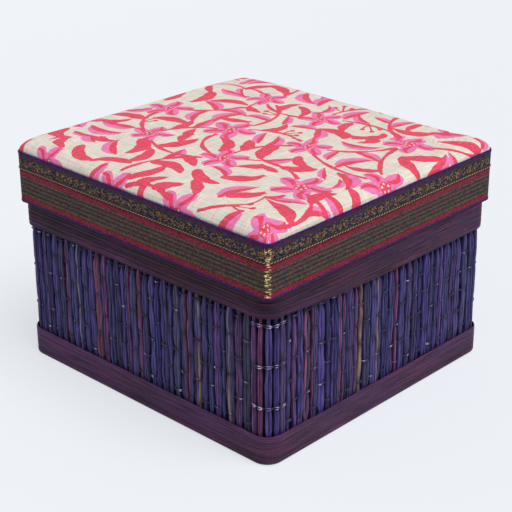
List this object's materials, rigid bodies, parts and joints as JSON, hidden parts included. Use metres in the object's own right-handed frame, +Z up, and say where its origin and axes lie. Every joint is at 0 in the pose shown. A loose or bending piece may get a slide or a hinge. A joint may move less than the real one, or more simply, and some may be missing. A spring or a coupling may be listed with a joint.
{
  "type": "decorative box",
  "caption": "Keepsake box of dyed reeds bound on card walls, with a lift-off lid of padded floral cotton and brocade ribbon.",
  "frame": {"origin": "centre of the footprint, on the surface that the box stands on", "axes": "+Z up, the way the lid lifts; +X along the longer side of the box; -Y is the front"},
  "size_m": [0.16, 0.152, 0.1093],
  "materials": {
    "board": "grey pasteboard",
    "lining": "matt dyed paper lining",
    "reed": "dyed dried reed stems, satin",
    "leaf": "dyed dried leaf strip, satin",
    "wadding": "soft wadding",
    "cotton": "plain-weave printed cotton",
    "brocade": "woven brocade with metallic gold threads"
  },
  "bodies": {
    "box": {"base_board": "board", "front_wall_board": "board", "back_wall_board": "board", "left_wall_board": "board", "right_wall_board": "board", "wall_lining": "lining", "floor_card": "lining", "underside_sheet": "lining", "front_reeds": "reed", "right_reeds": "reed", "back_reeds": "reed", "left_reeds": "reed", "front_right_corner_reeds": "reed", "back_right_corner_reeds": "reed", "back_left_corner_reeds": "reed", "front_left_corner_reeds": "reed", "rim_band": "leaf", "base_band": "leaf"},
    "lid": {"lid_board": "board", "front_skirt_board": "board", "back_skirt_board": "board", "left_skirt_board": "board", "right_skirt_board": "board", "lid_pad": "wadding", "lid_cover": "cotton", "brocade_ribbon": "brocade", "skirt_lining": "lining", "lid_lining": "lining"}
  },
  "joints": [
    {"name": "lid_lift", "type": "slide", "parent": "box", "child": "lid", "axis": [0, 0, 1], "range_m": [0, 0.08]}
  ]
}
